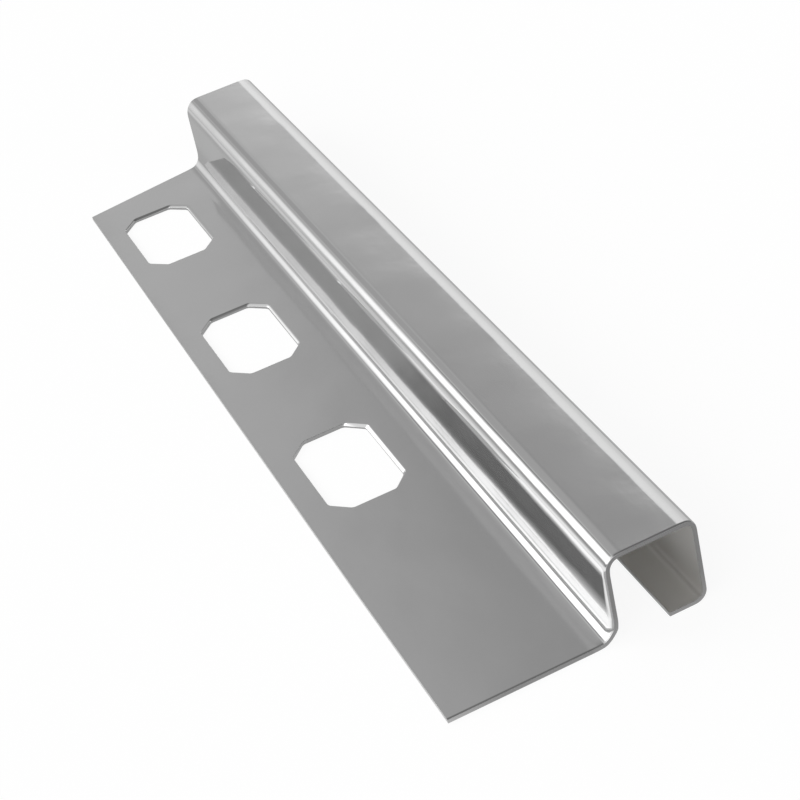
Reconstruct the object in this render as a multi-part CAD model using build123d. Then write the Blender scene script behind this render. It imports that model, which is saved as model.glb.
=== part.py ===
from build123d import *
import os

# A short length of square-edge tile trim, bent and punched from one stainless-steel strip.
#
# Seen from its end, the strip lies flat as an anchoring flange, turns up as the web that the tile
# stands against, runs flat as the visible top, turns down as the outer web and ends in a narrow
# return lip on the floor. Three chamfered holes are punched through the flange, for the adhesive.
#
# Millimetres. X runs across the trim, from the flange's free edge to the outer web. Y runs along
# it, and Z up from the floor. The origin is on the floor, at the middle of the whole outline.

# The strip and its bends: the one at the flange is wider than the three of the box
SHEET = 0.5
FLANGE_BEND_INSIDE = 1.7
BOX_BEND_INSIDE = 1.0

# The section, all outside sizes
HEIGHT = 10.0
TOP_WIDTH = 10.0
FLANGE_WIDTH = 17.5
LIP_WIDTH = 4.2
LENGTH = 118.0

# The punched holes: a rectangle with its four corners cut off at 45 degrees
HOLE_COUNT = 3
HOLE_LENGTH = 14.4
HOLE_WIDTH = 8.8
HOLE_CORNER_CUT = 2.0
HOLE_CORNER_RADIUS = 0.3
HOLE_PITCH = 30.8
HOLE_FROM_FREE_EDGE = 3.0
HOLE_FROM_FAR_END = 7.9

# The punch draws the sheet's upper edge down into the hole as it enters
PUNCH_ROLL = 0.25
ROLL_LIMIT = 0.6

# Places worked out from the sizes above
free_edge_x = -(FLANGE_WIDTH + TOP_WIDTH) / 2
tile_web_x = free_edge_x + FLANGE_WIDTH
outer_web_x = tile_web_x + TOP_WIDTH
lip_edge_x = outer_web_x - LIP_WIDTH
far_end_y = LENGTH / 2


def bent_strip():
    """The strip after rolling: its lower and inner side is drawn, then thickened outwards."""
    lower_side = [
        (free_edge_x, 0),
        (tile_web_x + SHEET, 0),
        (tile_web_x + SHEET, HEIGHT - SHEET),
        (outer_web_x - SHEET, HEIGHT - SHEET),
        (outer_web_x - SHEET, SHEET),
        (lip_edge_x, SHEET),
    ]
    radii = [FLANGE_BEND_INSIDE + SHEET, BOX_BEND_INSIDE, BOX_BEND_INSIDE, BOX_BEND_INSIDE]
    with BuildPart() as strip:
        with BuildSketch(Plane.XZ):
            with BuildLine():
                FilletPolyline(*lower_side, radius=radii)
                offset(amount=SHEET, side=Side.LEFT)
            make_face()
        extrude(amount=LENGTH / 2, both=True)
    return strip.part


def hole_centres():
    """Centres of the punched holes, counted from the far end."""
    centre_x = free_edge_x + HOLE_FROM_FREE_EDGE + HOLE_WIDTH / 2
    first_y = far_end_y - HOLE_FROM_FAR_END - HOLE_LENGTH / 2
    return [(centre_x, first_y - step * HOLE_PITCH) for step in range(HOLE_COUNT)]


def punch():
    """One punch standing on the floor, taller than the sheet, with its slightly worn corners."""
    with BuildPart() as tool:
        with BuildSketch():
            outline = Rectangle(HOLE_WIDTH, HOLE_LENGTH)
            cut = chamfer(outline.vertices(), HOLE_CORNER_CUT)
            fillet(cut.vertices(), HOLE_CORNER_RADIUS)
        extrude(amount=2 * SHEET, both=True)
    return tool.part


def punched(strip):
    """The strip with its holes, and the upper edge of each hole rolled down by the punch."""
    tool = punch()
    for centre_x, centre_y in hole_centres():
        strip -= Pos(centre_x, centre_y, 0) * tool
    pierced_faces = strip.faces().filter_by(lambda face: len(face.inner_wires()) > 0)
    flange_top = pierced_faces.sort_by(Axis.Z)[-1]
    rims = [edge for wire in flange_top.inner_wires() for edge in wire.edges()]
    return strip.fillet(min(PUNCH_ROLL, ROLL_LIMIT * SHEET), rims)


edge_trim = punched(bent_strip())
os.makedirs("parts", exist_ok=True)
export_step(edge_trim, "parts/edge_trim.step")
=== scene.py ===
import math

import bmesh
import bpy
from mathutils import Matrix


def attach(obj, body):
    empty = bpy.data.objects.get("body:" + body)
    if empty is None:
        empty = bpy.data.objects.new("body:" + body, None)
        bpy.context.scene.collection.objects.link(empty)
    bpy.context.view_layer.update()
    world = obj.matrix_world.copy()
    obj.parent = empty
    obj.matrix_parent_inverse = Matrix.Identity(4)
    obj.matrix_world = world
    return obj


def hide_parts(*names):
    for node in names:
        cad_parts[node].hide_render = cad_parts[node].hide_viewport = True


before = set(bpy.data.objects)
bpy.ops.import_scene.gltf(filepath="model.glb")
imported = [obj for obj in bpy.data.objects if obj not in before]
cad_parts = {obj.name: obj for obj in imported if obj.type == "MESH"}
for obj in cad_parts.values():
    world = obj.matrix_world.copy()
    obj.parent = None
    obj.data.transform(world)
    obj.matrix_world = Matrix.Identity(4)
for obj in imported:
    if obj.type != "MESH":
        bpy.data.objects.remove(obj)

# The looks of one short length of square-edge tile trim, folded from a polished steel strip.
# Metres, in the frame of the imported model: X across the trim, Y along it, Z up from the floor.

MM = 0.001

# The strip and the section, as in the part's source
SHEET = 0.5 * MM
HEIGHT = 10.0 * MM
TOP_WIDTH = 10.0 * MM
FLANGE_WIDTH = 17.5 * MM
LIP_WIDTH = 4.2 * MM
LENGTH = 118.0 * MM

# The punched holes, as in the part's source
HOLE_COUNT = 3
HOLE_LENGTH = 14.4 * MM
HOLE_WIDTH = 8.8 * MM
HOLE_CORNER_CUT = 2.0 * MM
HOLE_CORNER_RADIUS = 0.3 * MM
HOLE_PITCH = 30.8 * MM
HOLE_FROM_FREE_EDGE = 3.0 * MM
HOLE_FROM_FAR_END = 7.9 * MM

# The punch leaned as it entered, and dragged the sheet's upper edge down on two sides only. For each
# hole from the far end: the roll's width beside the web and at the far side, how far down it goes,
# and how late it steepens
PUNCH_ROLLS = [(0.42 * MM, 0.34 * MM, 0.20 * MM, 1.6), (0.40 * MM, 0.32 * MM, 0.24 * MM, 1.5),
               (0.42 * MM, 0.0, 0.30 * MM, 1.25)]
ROLL_STEPS = 8
HOLE_CORNER_SEGMENTS = 4

# The shear drags the near end down too: distance from the end, and how far the upper side has sunk
SHEARED_END = [(0.24 * MM, 0.0), (0.17 * MM, 0.010 * MM), (0.10 * MM, 0.028 * MM), (0.04 * MM, 0.050 * MM),
               (0.0, 0.075 * MM)]
# It also bent the web's near end in: a ramp of one slope, wide at the flange and narrow at the top,
# which fades out round the bends by a power of how squarely the sheet faces across
PRESS_SLOPE = 0.30
PRESS_WIDTH_LOW = 1.0 * MM
PRESS_WIDTH_HIGH = 0.40 * MM
PRESS_FADE = 8

# All cut edges are broken by the same small wear
CUT_EDGE_WEAR = 0.04 * MM
CUT_EDGE_SEGMENTS = 2

# This sample was cut a little askew: the flange's far end, and its free edge towards that end
FAR_END_SKEW = 2.7 * MM
FREE_EDGE_TAPER = 0.45 * MM
TAPER_LENGTH = 96.0 * MM

# The bends, at the middle of the sheet, as arcs of a radius and an angle. The web that the tile
# stands against leans out a little, so the bends below and above it fall short of square.
FLANGE_BEND = [(8.0 * MM, 1.8), (12.0 * MM, 3.2), (1.3 * MM, 26.0), (2.0 * MM, 28.0), (1.4 * MM, 20.0),
               (7.0 * MM, 9.1)]
TILE_EDGE_BEND = [(5.0 * MM, 7.0), (2.0 * MM, 34.0), (1.5 * MM, 20.0), (0.7 * MM, 10.0), (2.4 * MM, 12.1),
                  (5.0 * MM, 5.0)]
FRONT_EDGE_BEND = [(8.0 * MM, 6.0), (1.0 * MM, 79.0), (5.0 * MM, 5.0)]
LIP_BEND = [(5.0 * MM, 4.0), (1.15 * MM, 82.0), (5.0 * MM, 4.0)]
DEGREES_PER_STEP = 3.0
LEAST_STEPS = 4

SHARP_ANGLE = math.radians(50.0)
SMOOTH_ANGLE = math.radians(32.0)
TOUCH = 0.01 * MM
WELD = TOUCH / 10

# What part of a face's unit normal makes it count as upright, as facing down, and as facing across
UPRIGHT = 0.3
FACING_DOWN = -0.9
FACING_ACROSS = 0.05

free_edge_x = -(FLANGE_WIDTH + TOP_WIDTH) / 2
tile_web_x = free_edge_x + FLANGE_WIDTH
outer_web_x = tile_web_x + TOP_WIDTH
lip_edge_x = outer_web_x - LIP_WIDTH
half_length = LENGTH / 2
half_sheet = SHEET / 2
past_holes_x = free_edge_x + HOLE_FROM_FREE_EDGE + HOLE_WIDTH + SHEET
far_cut_place = (tile_web_x, half_length, 0)
slit_place = (free_edge_x, half_length - TAPER_LENGTH, 0)

# Material slots of the trim
POLISHED, DULL, SHEARED = 0, 1, 2


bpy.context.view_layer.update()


# Small helpers for working as by hand

def deselect_all():
    if bpy.context.mode != "OBJECT":
        bpy.ops.object.mode_set(mode="OBJECT")
    bpy.ops.object.select_all(action="DESELECT")


def edit(part):
    deselect_all()
    bpy.context.view_layer.objects.active = part
    part.select_set(True)
    bpy.ops.object.mode_set(mode="EDIT")


def pick(part, kind, test):
    """In edit mode, selects the vertices, edges or faces that pass the test."""
    mesh = bmesh.from_edit_mesh(part.data)
    bpy.ops.mesh.select_all(action="DESELECT")
    bpy.ops.mesh.select_mode(type=kind)
    elements = {"VERT": mesh.verts, "EDGE": mesh.edges, "FACE": mesh.faces}[kind]
    for element in elements:
        element.select_set(test(element))
    mesh.select_flush_mode()
    bmesh.update_edit_mesh(part.data)


def apply_modifier(part, name, kind, **settings):
    deselect_all()
    bpy.context.view_layer.objects.active = part
    part.select_set(True)
    modifier = part.modifiers.new(name, kind)
    for setting, value in settings.items():
        setattr(modifier, setting, value)
    bpy.ops.object.modifier_apply(modifier=modifier.name)


# The strip: its middle surface is folded edge by edge, as a brake does it

class Fold:
    """A pen that follows the section. With a strip in hand it carries the selected edge along."""

    def __init__(self, x=0.0, z=0.0, making=False):
        self.x = x
        self.z = z
        self.heading = 0.0
        self.making = making

    def flat(self, length):
        step_x = length * math.cos(self.heading)
        step_z = length * math.sin(self.heading)
        if self.making:
            bpy.ops.mesh.extrude_region_move(TRANSFORM_OT_translate={"value": (step_x, 0, step_z)})
        self.x += step_x
        self.z += step_z

    def arc(self, radius, degrees):
        """Turns up for positive degrees and down for negative ones."""
        side = 1 if degrees > 0 else -1
        centre_x = self.x - side * radius * math.sin(self.heading)
        centre_z = self.z + side * radius * math.cos(self.heading)
        if self.making:
            steps = max(LEAST_STEPS, round(abs(degrees) / DEGREES_PER_STEP))
            bpy.ops.mesh.spin(steps=steps, angle=math.radians(degrees),
                              center=(centre_x, 0, centre_z), axis=(0, 1, 0))
        self.heading += math.radians(degrees)
        self.x = centre_x + side * radius * math.sin(self.heading)
        self.z = centre_z - side * radius * math.cos(self.heading)

    def bend(self, arcs, side):
        for radius, degrees in arcs:
            self.arc(radius, side * degrees)

    def flat_up_to(self, height, next_bend):
        """A flat as long as it takes for the bend after it, a downward one, to end at a height."""
        up = travel(next_bend, -1, self.heading)[1]
        self.flat((height - self.z - up) / math.sin(self.heading))

    def flat_across_to(self, place, next_bend):
        """The same, for a bend that ends at a place across the trim."""
        across = travel(next_bend, -1, self.heading)[0]
        self.flat((place - self.x - across) / math.cos(self.heading))


def cut_off(place, outward):
    bpy.ops.mesh.select_all(action="SELECT")
    bpy.ops.mesh.bisect(plane_co=place, plane_no=outward, clear_outer=True, threshold=WELD)


def travel(arcs, side, heading):
    """How far across and how far up a bend carries the pen that meets it with this heading."""
    pen = Fold()
    pen.heading = heading
    pen.bend(arcs, side)
    return pen.x, pen.z


def on_web(element):
    """Whether a face or vertex of the bare fold belongs to the tiles' web or its bends."""
    place = element.co if isinstance(element, bmesh.types.BMVert) else element.calc_center_median()
    return abs(element.normal.x) > FACING_ACROSS and place.x < tile_web_x + TOP_WIDTH / 2


def press_web_end(strip):
    """Bends the web's near end in, from a slanted line on."""
    slant = (PRESS_WIDTH_LOW - PRESS_WIDTH_HIGH) / HEIGHT
    pick(strip, "FACE", on_web)
    bpy.ops.mesh.bisect(plane_co=(0, PRESS_WIDTH_LOW - half_length, 0), plane_no=(0, 1, slant),
                        threshold=WELD)
    verts = bmesh.from_edit_mesh(strip.data).verts
    at_end = [(vert.co.copy(), vert.normal.x ** PRESS_FADE) for vert in verts
              if vert.co.y < TOUCH - half_length and on_web(vert)]
    for place, share in at_end:
        push = PRESS_SLOPE * (PRESS_WIDTH_LOW - slant * place.z) * share
        pick(strip, "VERT", lambda vert: (vert.co - place).length < WELD)
        bpy.ops.transform.translate(value=(push, 0, 0))


def folded_strip(finishes):
    """The whole strip, flange to lip, as two open skins the sheet's thickness apart."""
    bend_across, bend_up = travel(FLANGE_BEND, 1, 0.0)
    lean = math.radians(90.0 - sum(degrees for radius, degrees in FLANGE_BEND))
    lean_below_middle = (HEIGHT / 2 - half_sheet - bend_up) * math.tan(lean)
    start_x = tile_web_x + half_sheet - lean_below_middle - bend_across
    flange_flat = start_x - free_edge_x

    deselect_all()
    bpy.ops.mesh.primitive_plane_add(size=1, location=(free_edge_x + flange_flat / 2, 0, half_sheet))
    strip = bpy.context.object
    for finish in finishes:
        strip.data.materials.append(finish)
    strip.scale = (flange_flat, LENGTH, 1)
    bpy.ops.object.transform_apply(location=True, rotation=True, scale=True)
    edit(strip)
    pick(strip, "EDGE", lambda edge: all(abs(vert.co.x - start_x) < TOUCH for vert in edge.verts))
    fold = Fold(start_x, half_sheet, making=True)
    fold.bend(FLANGE_BEND, 1)
    fold.flat_up_to(HEIGHT - half_sheet, TILE_EDGE_BEND)
    fold.bend(TILE_EDGE_BEND, -1)
    fold.flat_across_to(outer_web_x - half_sheet, FRONT_EDGE_BEND)
    fold.bend(FRONT_EDGE_BEND, -1)
    fold.flat_up_to(half_sheet, LIP_BEND)
    fold.bend(LIP_BEND, -1)
    fold.flat_across_to(lip_edge_x, [])
    bpy.ops.mesh.select_all(action="SELECT")
    bpy.ops.mesh.remove_doubles(threshold=WELD)
    cut_off(far_cut_place, (-FAR_END_SKEW / FLANGE_WIDTH, 1, 0))
    cut_off(slit_place, (-1, FREE_EDGE_TAPER / TAPER_LENGTH, 0))
    bpy.ops.mesh.select_all(action="SELECT")
    bpy.ops.mesh.normals_make_consistent(inside=False)
    flange = min(bmesh.from_edit_mesh(strip.data).faces, key=lambda face: face.calc_center_median().x)
    if flange.normal.z < 0:
        bpy.ops.mesh.flip_normals()
    press_web_end(strip)
    bpy.ops.object.mode_set(mode="OBJECT")
    apply_modifier(strip, "sheet", "SOLIDIFY", thickness=SHEET, offset=0, use_even_offset=True,
                   use_rim=False, material_offset=DULL)
    return strip


def shear_end(strip):
    """Sinks the upper skin towards the near end, then closes the rim between the skins."""
    # The pressed web's end goes back to the cut line first
    edit(strip)
    pick(strip, "VERT", lambda vert: vert.co.y < half_sheet - half_length)
    bpy.ops.transform.resize(value=(1, 0, 1), center_override=(0, -half_length, 0))
    for from_end, sink in SHEARED_END[:-1]:
        bpy.ops.mesh.select_all(action="SELECT")
        bpy.ops.mesh.bisect(plane_co=(0, from_end - half_length, 0), plane_no=(0, 1, 0),
                            threshold=WELD)
    for from_end, sink in SHEARED_END[1:]:
        place = from_end - half_length
        pick(strip, "VERT", lambda vert: abs(vert.co.y - place) < TOUCH
             and vert.link_faces[0].material_index == POLISHED)
        bpy.ops.transform.shrink_fatten(value=-sink)
        bpy.ops.transform.resize(value=(1, 0, 1), center_override=(0, place, 0))
    pick(strip, "EDGE", lambda edge: edge.is_boundary)
    bpy.ops.mesh.bridge_edge_loops()
    bpy.ops.object.mode_set(mode="OBJECT")


def hole_centres():
    centre_x = free_edge_x + HOLE_FROM_FREE_EDGE + HOLE_WIDTH / 2
    first_y = half_length - HOLE_FROM_FAR_END - HOLE_LENGTH / 2
    return [(centre_x, first_y - step * HOLE_PITCH) for step in range(HOLE_COUNT)]


def hole_punch(centre_x, centre_y, web_roll, far_roll, roll_depth, lateness):
    """A block with its corners cut off, drawn in below the sheet's upper side to the hole's size."""
    wide, long = HOLE_WIDTH + web_roll, HOLE_LENGTH + far_roll
    cut_at_top = HOLE_CORNER_CUT * (wide / HOLE_WIDTH + long / HOLE_LENGTH) / 2
    still_corner = (centre_x - HOLE_WIDTH / 2, centre_y - HOLE_LENGTH / 2, SHEET)
    deselect_all()
    bpy.ops.mesh.primitive_cube_add(size=1, location=(centre_x + web_roll / 2, centre_y + far_roll / 2,
                                                      SHEET + HEIGHT / 2))
    punch = bpy.context.object
    punch.scale = (wide, long, HEIGHT)
    bpy.ops.object.transform_apply(location=True, rotation=True, scale=True)
    edit(punch)
    for cut, segments in ((cut_at_top, 1), (HOLE_CORNER_RADIUS, HOLE_CORNER_SEGMENTS)):
        pick(punch, "EDGE", lambda edge: abs(edge.verts[0].co.z - edge.verts[1].co.z) > SHEET)
        bpy.ops.mesh.bevel(offset_type="OFFSET", offset=cut, segments=segments, affect="EDGES")
    pick(punch, "FACE", lambda face: face.normal.z < FACING_DOWN)
    for step in range(ROLL_STEPS):
        share = ((step + 1) / ROLL_STEPS) ** lateness - (step / ROLL_STEPS) ** lateness
        narrower = (wide - web_roll / ROLL_STEPS) / wide
        shorter = (long - far_roll / ROLL_STEPS) / long
        bpy.ops.mesh.extrude_region_move(TRANSFORM_OT_translate={"value": (0, 0, -roll_depth * share)})
        bpy.ops.transform.resize(value=(narrower, shorter, 1), center_override=still_corner)
        wide, long = wide * narrower, long * shorter
    bpy.ops.mesh.extrude_region_move(TRANSFORM_OT_translate={"value": (0, 0, -2 * SHEET)})
    bpy.ops.object.mode_set(mode="OBJECT")
    return punch


def punch_holes(strip):
    for (centre_x, centre_y), roll in zip(hole_centres(), PUNCH_ROLLS):
        punch = hole_punch(centre_x, centre_y, *roll)
        apply_modifier(strip, "hole", "BOOLEAN", operation="DIFFERENCE", solver="EXACT", object=punch)
        bpy.data.objects.remove(punch)


def beside_outline(place):
    """Whether a place lies on the strip's outline: a cut end or a slit side."""
    left_of_web = max(0.0, tile_web_x - place.x)
    past_taper = max(0.0, place.y - half_length + TAPER_LENGTH)
    far_end = half_length - FAR_END_SKEW * left_of_web / FLANGE_WIDTH
    free_edge = free_edge_x + FREE_EDGE_TAPER * past_taper / TAPER_LENGTH
    at_end = place.y < TOUCH - half_length or place.y > far_end - TOUCH
    at_lip = abs(place.x - lip_edge_x) < TOUCH and place.z < 2 * SHEET
    return at_end or at_lip or place.x < free_edge + TOUCH


def is_sharp(edge):
    if len(edge.link_faces) != 2:
        return False
    first, second = (face.normal for face in edge.link_faces)
    return first.angle(second, 0.0) > SHARP_ANGLE


def on_cut_face(face):
    """A sheared face: an end, a slit side or the wall of a hole."""
    middle = face.calc_center_median()
    on_hole_wall = abs(face.normal.z) < UPRIGHT and middle.x < past_holes_x
    return on_hole_wall or (beside_outline(middle) and face.material_index != POLISHED)


def dress_edges(strip):
    edit(strip)
    pick(strip, "FACE", on_cut_face)
    strip.active_material_index = SHEARED
    bpy.ops.object.material_slot_assign()
    pick(strip, "EDGE", is_sharp)
    bpy.ops.mesh.bevel(offset_type="OFFSET", offset=CUT_EDGE_WEAR, segments=CUT_EDGE_SEGMENTS,
                       profile=0.5, affect="EDGES", clamp_overlap=False, material=SHEARED)
    bpy.ops.mesh.select_all(action="DESELECT")
    bpy.ops.object.mode_set(mode="OBJECT")
    bpy.ops.object.shade_smooth_by_angle(angle=SMOOTH_ANGLE)
    apply_modifier(strip, "even shading", "WEIGHTED_NORMAL", keep_sharp=True)


# Materials

class Nodes:
    """A short way to lay out a material's or the world's nodes."""

    def __init__(self, owner):
        owner.use_nodes = True
        self.tree = owner.node_tree
        self.tree.nodes.clear()

    def add(self, kind, inputs=None, **settings):
        node = self.tree.nodes.new(kind)
        for name, value in settings.items():
            setattr(node, name, value)
        for name, value in (inputs or {}).items():
            self.put(node, name, value)
        return node

    def put(self, node, name, value):
        socket = node.inputs[name]
        if isinstance(value, bpy.types.NodeSocket):
            self.tree.links.new(value, socket)
        else:
            socket.default_value = value

    def maths(self, operation, *values):
        node = self.add("ShaderNodeMath", operation=operation)
        for number, value in enumerate(values):
            self.put(node, number, value)
        return node.outputs[0]

    def weighted(self, base, *parts):
        """A base value, plus a share of each other value."""
        total = base
        for share, value in parts:
            total = self.maths("ADD", total, self.maths("MULTIPLY", value, share))
        return total

    def noise(self, place, scale, detail, roughness=0.5):
        return self.add("ShaderNodeTexNoise", {"Vector": place, "Scale": scale, "Detail": detail,
                                               "Roughness": roughness}).outputs["Fac"]

    def ramp(self, factor, stops):
        """stops: place and grey level, both 0 to 1."""
        node = self.add("ShaderNodeValToRGB", {"Fac": factor})
        elements = node.color_ramp.elements
        while len(elements) < len(stops):
            elements.new(0.5)
        # The places come first, because an element that moves past another changes its number
        for element, (place, level) in zip(elements, stops):
            element.position = place
        for element, (place, level) in zip(elements, stops):
            element.color = (level, level, level, 1)
        return node.outputs["Color"]

    def mix(self, factor, first, second):
        node = self.add("ShaderNodeMix", data_type="FLOAT")
        self.put(node, "Factor", factor)
        self.put(node, "A", first)
        self.put(node, "B", second)
        return node.outputs[0]

    def steel(self, colour, rough, bump=None):
        """Ends a material in bare metal of this colour and roughness."""
        inputs = {"Base Color": (*colour, 1), "Metallic": 1.0, "Roughness": rough}
        if bump:
            inputs["Normal"] = bump.outputs["Normal"]
        shader = self.add("ShaderNodeBsdfPrincipled", inputs)
        self.add("ShaderNodeOutputMaterial", {"Surface": shader.outputs["BSDF"]})


def polished_stainless():
    """Bright rolled stainless: nearly a mirror, with faint clouds and the fine lines of its rolling."""
    material = bpy.data.materials.new("polished_stainless")
    nodes = Nodes(material)
    place = nodes.add("ShaderNodeTexCoord").outputs["Object"]
    drawn_out = nodes.add("ShaderNodeMapping", {"Vector": place, "Scale": (1.0, 0.03, 1.0)})
    clouds = nodes.noise(place, scale=260.0, detail=3.0, roughness=0.55)
    waves = nodes.noise(place, scale=75.0, detail=1.0)
    lines = nodes.noise(drawn_out.outputs["Vector"], scale=4200.0, detail=2.0)
    rough = nodes.weighted(0.08, (0.03, clouds), (0.02, lines))
    height = nodes.weighted(0.0, (0.05, clouds), (0.001, lines), (0.6, waves))
    bump = nodes.add("ShaderNodeBump", {"Height": height, "Strength": 1.0, "Distance": 0.2 * MM})
    nodes.steel((0.55, 0.55, 0.55), rough, bump)
    return material


def dull_stainless_painted_light():
    """The hidden side of the strip: the same steel as it left the rolls, matt and slightly warm, with
    painted light in its base colour.
    """
    material = bpy.data.materials.new("dull_stainless_painted_light")
    nodes = Nodes(material)
    place = nodes.add("ShaderNodeTexCoord").outputs["Object"]
    clouds = nodes.noise(place, scale=300.0, detail=4.0)
    # Painted light: a base colour far brighter than the polished side's lifts the shaded inside of the
    # channel; the matt roughness and the warm tint are the side's own
    nodes.steel((0.90, 0.89, 0.87), nodes.weighted(0.41, (0.06, clouds)))
    return material


def sheared_stainless():
    """The cut through the sheet: duller, with the marks of the shear across it."""
    material = bpy.data.materials.new("sheared_stainless")
    nodes = Nodes(material)
    place = nodes.add("ShaderNodeTexCoord").outputs["Object"]
    marks = nodes.noise(place, scale=2500.0, detail=4.0)
    bump = nodes.add("ShaderNodeBump", {"Height": marks, "Strength": 0.3, "Distance": 0.05 * MM})
    nodes.steel((0.50, 0.50, 0.50), nodes.weighted(0.25, (0.2, marks)), bump)
    return material


# The studio: one white sweep for the camera, and soft boxes with grey gaps for what reflects

# The brightest level of any panel. In degrees round the trim: where the grey card ends, and how
# much higher the soft box begins for what stands far along.
BRIGHTEST = 3.2
CARD_EDGE = 62.3
BOX_LATENESS = 5.0

# The floor, the patch of it round the trim where light and shade are painted into its glow, and its
# levels: what the camera sees of it, what the steel sees of it, and the painted light added at the left
# and at the near left
FLOOR_SIZE = 3.0
PAINTED_LIGHT_WIDTH = 0.4
PAINTED_LIGHT_LENGTH = 0.2
FLOOR_SEEN = 0.9
FLOOR_REFLECTED = 0.5
LEFT_PAINTED_LIGHT = 0.35
NEAR_LEFT_PAINTED_LIGHT = 0.5

# The camera, fitted to the trim's edges in the photograph: its lens in millimetres, turns in degrees
CAMERA_LENS = 93.0
CAMERA_SENSOR = 36.0
CAMERA_NEAREST = 0.01
CAMERA_PLACE = (-0.047789, -0.191822, 0.130993)
CAMERA_TURN = (54.3653, 11.9412, -24.1304)


def by_turn(nodes, turn, *stops):
    """A ramp over the angle round the trim's length, its places in degrees."""
    return nodes.ramp(turn, [(degrees / 180, level) for degrees, level in stops])


def panel(nodes, along, *stops):
    """The brightness of one panel, which changes with how far along the trim it stands."""
    shade = nodes.ramp(along, [(place, level / BRIGHTEST) for place, level in stops])
    return nodes.maths("MULTIPLY", shade, BRIGHTEST)


def seen_directly(nodes):
    """1 for a ray straight from the camera or through something clear, 0 for one off the steel."""
    rays = nodes.add("ShaderNodeLightPath").outputs
    return nodes.maths("MAXIMUM", rays["Is Camera Ray"], rays["Is Transmission Ray"])


def studio_world():
    world = bpy.data.worlds.new("studio")
    bpy.context.scene.world = world
    nodes = Nodes(world)
    direction = nodes.add("ShaderNodeTexCoord").outputs["Generated"]
    x, y, z = nodes.add("ShaderNodeSeparateXYZ", {"Vector": direction}).outputs
    along = nodes.maths("ABSOLUTE", y)
    # The angle round the trim's length: 0 on the right, a half straight up, 1 on the left
    turn = nodes.maths("DIVIDE", nodes.maths("ARCTAN2", z, x), math.pi)

    # From right to left: a grey card, then panels whose levels change along the trim
    card = by_turn(nodes, turn, (0, 0.28), (45, 0.35), (62, 0.42))
    card = nodes.maths("MULTIPLY", card, BRIGHTEST)
    over_top = panel(nodes, along, (0.30, 0.20), (0.55, 0.33), (0.70, 0.47), (0.76, 0.50), (0.80, 0.54),
                     (0.84, 0.62), (0.88, 0.77))
    over_flange = panel(nodes, along, (0.30, 0.20), (0.55, 0.33), (0.70, 0.46), (0.76, 0.46), (0.80, 0.51),
                        (0.84, 0.60), (0.88, 0.68))
    left_of_that = panel(nodes, along, (0.30, 0.20), (0.55, 0.36), (0.70, 0.56), (0.76, 0.61),
                         (0.84, 0.70), (0.88, 0.70))
    high = panel(nodes, along, (0.30, 0.25), (0.55, 0.40), (0.70, 0.61), (0.82, 0.56), (0.88, 0.53))
    glow = panel(nodes, along, (0.50, 0.95), (0.66, 0.90), (0.70, 0.88), (0.78, 0.87), (0.82, 0.80),
                 (0.88, 0.75))
    dark = panel(nodes, along, (0.50, 1.05), (0.66, 0.30), (0.70, 0.27), (0.775, 0.28), (0.81, 0.73),
                 (0.88, 0.58))
    softbox = panel(nodes, along, (0.20, 1.20), (0.45, 2.90), (0.70, 3.00), (0.76, 2.60), (0.79, 2.00),
                    (0.82, 1.65), (0.85, 1.38), (0.88, 1.03))
    seam = panel(nodes, along, (0.30, 0.40), (0.70, 0.45), (0.79, 0.60), (0.88, 1.0))

    # The soft box begins higher up for what stands further along
    late = nodes.ramp(along, [(0.70, 0.0), (0.78, 1.0)])
    box_turn = nodes.maths("SUBTRACT", turn, nodes.maths("MULTIPLY", late, BOX_LATENESS / 180))

    sky = nodes.mix(by_turn(nodes, turn, (65, 0), (69.5, 1)), over_top, over_flange)
    sky = nodes.mix(by_turn(nodes, turn, (70, 0), (75, 1)), sky, left_of_that)
    sky = nodes.mix(by_turn(nodes, turn, (75.5, 0), (77.5, 1)), sky, high)
    sky = nodes.mix(by_turn(nodes, turn, (96, 0), (108, 1)), sky, glow)
    sky = nodes.mix(by_turn(nodes, turn, (110, 0), (115, 1)), sky, dark)
    sky = nodes.mix(by_turn(nodes, box_turn, (118, 0), (126, 0.37), (136, 1)), sky, softbox)
    sky = nodes.mix(by_turn(nodes, turn, (162, 0), (172, 1)), sky, seam)
    card_reach = nodes.ramp(along, [(0.60, 0.0), (0.70, 1.0)])
    card_side = nodes.maths("MULTIPLY", card_reach, nodes.maths("LESS_THAN", turn, CARD_EDGE / 180))
    sky = nodes.mix(card_side, sky, card)
    level = nodes.mix(seen_directly(nodes), sky, 1.0)
    background = nodes.add("ShaderNodeBackground", {"Strength": level, "Color": (1, 1, 1, 1)})
    nodes.add("ShaderNodeOutputWorld", {"Surface": background.outputs["Background"]})


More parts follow.
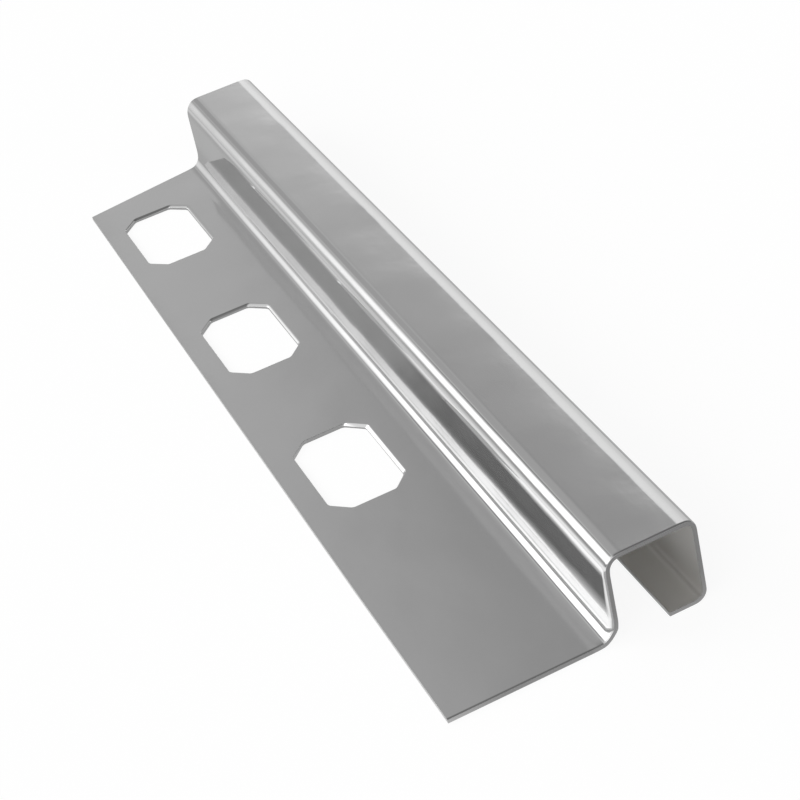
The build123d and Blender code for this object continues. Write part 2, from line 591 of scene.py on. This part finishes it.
def studio_floor():
    deselect_all()
    bpy.ops.mesh.primitive_plane_add(size=FLOOR_SIZE, location=(0, 0, 0))
    floor = bpy.context.object
    floor.name = "studio_floor"
    # Even white for the camera. The glow that the steel reflects carries painted light and a painted
    # shadow
    material = bpy.data.materials.new("white_sweep_painted_light")
    nodes = Nodes(material)
    place = nodes.add("ShaderNodeTexCoord").outputs["Object"]
    x, y, z = nodes.add("ShaderNodeSeparateXYZ", {"Vector": place}).outputs
    # Both run from 0 to 1 over the patch round the trim
    across = nodes.weighted(0.5, (1 / PAINTED_LIGHT_WIDTH, x))
    lengthwise = nodes.weighted(0.5, (1 / PAINTED_LIGHT_LENGTH, y))
    # Painted light: what the steel sees of the floor glows strongly to the left of the trim, most beside
    # its near half, and a painted shade makes it less in front of it
    left = nodes.ramp(across, [(0.20, 0.45), (0.35, 0.90), (0.42, 1.0), (0.45, 1.0), (0.48, 0.0)])
    near = nodes.ramp(lengthwise, [(0.45, 1.0), (0.62, 0.0)])
    front = nodes.ramp(lengthwise, [(0.185, 0.58), (0.215, 1.0)])
    near_left = nodes.maths("MULTIPLY", left, near)
    level = nodes.weighted(FLOOR_REFLECTED, (LEFT_PAINTED_LIGHT, left), (NEAR_LEFT_PAINTED_LIGHT, near_left))
    level = nodes.maths("MULTIPLY", front, level)
    # A painted shadow inside the channel, behind its near end
    inside = nodes.ramp(across, [(0.504, 0.0), (0.510, 1.0), (0.526, 1.0), (0.532, 0.0)])
    behind = nodes.ramp(lengthwise, [(0.21, 0.0), (0.23, 0.42)])
    shade = nodes.maths("SUBTRACT", 1.0, nodes.maths("MULTIPLY", inside, behind))
    strength = nodes.mix(seen_directly(nodes), nodes.maths("MULTIPLY", shade, level), FLOOR_SEEN)
    glow = nodes.add("ShaderNodeEmission", {"Strength": strength, "Color": (1, 1, 1, 1)})
    matt = nodes.add("ShaderNodeBsdfDiffuse", {"Color": (0.12, 0.12, 0.12, 1)})
    both = nodes.add("ShaderNodeAddShader")
    nodes.put(both, 0, glow.outputs[0])
    nodes.put(both, 1, matt.outputs[0])
    nodes.add("ShaderNodeOutputMaterial", {"Surface": both.outputs[0]})
    floor.data.materials.append(material)


def studio_camera():
    data = bpy.data.cameras.new("camera")
    data.lens = CAMERA_LENS
    data.sensor_width = CAMERA_SENSOR
    data.clip_start = CAMERA_NEAREST
    camera = bpy.data.objects.new("camera", data)
    camera.location = CAMERA_PLACE
    camera.rotation_euler = [math.radians(angle) for angle in CAMERA_TURN]
    bpy.context.scene.collection.objects.link(camera)
    bpy.context.scene.camera = camera


bpy.context.scene.view_settings.view_transform = "Standard"
studio_camera()
studio_world()
studio_floor()

trim = folded_strip([polished_stainless(), dull_stainless_painted_light(), sheared_stainless()])
shear_end(trim)
punch_holes(trim)
dress_edges(trim)
trim.name = "folded_trim"
trim.data.name = "folded_trim"
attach(trim, "root")
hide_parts("edge_trim")
